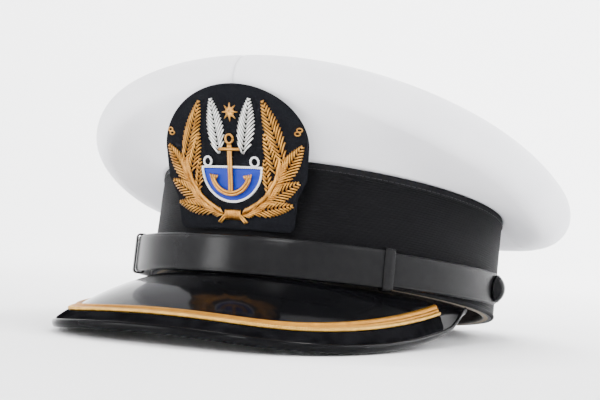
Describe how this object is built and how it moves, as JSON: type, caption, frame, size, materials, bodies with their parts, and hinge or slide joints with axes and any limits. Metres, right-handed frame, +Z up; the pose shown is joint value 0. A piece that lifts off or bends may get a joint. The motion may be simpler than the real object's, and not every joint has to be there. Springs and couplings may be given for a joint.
{
  "type": "military peaked cap",
  "caption": "Stiff peaked cap: flared white crown on a wire hoop, ribbed black band, braided patent visor, two-part chin strap and embroidered front badge.",
  "frame": {"origin": "centre of the box round the cap, on the flat surface that the cap stands on", "axes": "-Y is the front (visor), +X the wearer's left, +Z up; the band's bottom plane is lifted at the front by 8.6 degrees, because the cap stands on its visor corners and the rear of its band"},
  "size_m": [0.2536, 0.309, 0.1318],
  "materials": {
    "foundation_board": "stiff black band board, matt",
    "ribbed_ribbon": "black mohair ribbon with fine horizontal ribs, matt with a faint sheen",
    "band_binding": "plain black woven tape, stitched",
    "sweatband_leather": "dark brown grained sweatband leather, satin",
    "sweatband_reed": "black piping, matt",
    "white_cloth": "taut white woven cloth, matt",
    "hoop_steel": "sprung steel wire, satin",
    "ferrule_brass": "plain brass, satin",
    "padding_foam": "soft wadding roll, matt",
    "stay_steel": "sprung steel strip, satin",
    "crown_lining_satin": "pale satin lining, soft sheen",
    "clear_vinyl": "clear vinyl, glossy",
    "visor_patent": "black patent leather, mirror gloss",
    "visor_lining_leather": "black grained lining leather, satin",
    "visor_bead_patent": "black patent binding, glossy",
    "black_velvet": "black velvet, matt with a rim sheen",
    "gold_cord": "bright twisted gilt wire cord",
    "gold_braid": "amber gilt braid, softly worn",
    "strap_patent": "black coated strap leather, semi-gloss with grain",
    "strap_leather": "black strap leather, satin",
    "keeper_patent": "black coated leather, semi-gloss",
    "button_black": "black lacquered button, glossy",
    "fixing_steel": "plain steel, satin",
    "badge_felt": "blue-black felt, matt",
    "gold_bullion": "gilt bullion wire embroidery",
    "silver_bullion": "silver bullion wire embroidery",
    "blue_satin": "royal blue satin stitch",
    "white_cord": "white twisted cord"
  },
  "bodies": {
    "cap": {"band_foundation": "foundation_board", "band_ribbon": "ribbed_ribbon", "band_top_binding": "band_binding", "band_bottom_hem": "band_binding", "sweatband": "sweatband_leather", "sweatband_reed": "sweatband_reed", "crown_top_panel": "white_cloth", "crown_front_left": "white_cloth", "crown_front_right": "white_cloth", "crown_rear_panel": "white_cloth", "rim_hoop_wire": "hoop_steel", "rim_hoop_ferrule": "ferrule_brass", "rim_padding_roll": "padding_foam", "crown_front_stay": "stay_steel", "crown_lining": "crown_lining_satin", "sweat_shield": "clear_vinyl", "visor_shell": "visor_patent", "visor_lining": "visor_lining_leather", "visor_edge_bead": "visor_bead_patent", "visor_velvet_border": "black_velvet", "visor_gold_cord": "gold_cord", "visor_gold_braid": "gold_braid", "button_washers": "fixing_steel", "button_collars": "keeper_patent", "badge_backing": "badge_felt", "badge_wreath_left": "gold_bullion", "badge_wreath_right": "gold_bullion", "badge_wreath_tie": "gold_bullion", "badge_field": "blue_satin", "badge_field_cord": "white_cord", "badge_anchor": "gold_bullion", "badge_fronds": "silver_bullion", "badge_star": "gold_bullion"},
    "chin_strap": {"chin_strap_outer": "strap_patent", "chin_strap_inner": "strap_leather"},
    "keeper_left": {"strap_keeper_left": "keeper_patent"},
    "keeper_right": {"strap_keeper_right": "keeper_patent"},
    "button_left": {"button_left": "button_black", "split_pin_left": "fixing_steel"},
    "button_right": {"button_right": "button_black", "split_pin_right": "fixing_steel"}
  },
  "joints": [
    {"name": "strap_swing", "type": "hinge", "parent": "cap", "child": "chin_strap", "pos_m": [0, 0.01955, 0.02821], "axis": [-1, 0, 0], "range_deg": [0, 1.5]},
    {"name": "keeper_slide_left", "type": "hinge", "parent": "chin_strap", "child": "keeper_left", "pos_m": [-0.02733, 0.01955, 0.02821], "axis": [0, 0.0967, 0.9953], "range_deg": [-6.4, 10]},
    {"name": "keeper_slide_right", "type": "hinge", "parent": "chin_strap", "child": "keeper_right", "pos_m": [0.00376, 0.00294, 0.02983], "axis": [0, -0.0967, -0.9953], "range_deg": [-18.2, 14]},
    {"name": "button_turn_left", "type": "hinge", "parent": "cap", "child": "button_left", "pos_m": [0.0944, 0.01955, 0.02821], "axis": [1, 0, 0], "continuous": true},
    {"name": "button_turn_right", "type": "hinge", "parent": "cap", "child": "button_right", "pos_m": [-0.0944, 0.01955, 0.02821], "axis": [-1, 0, 0], "continuous": true}
  ]
}
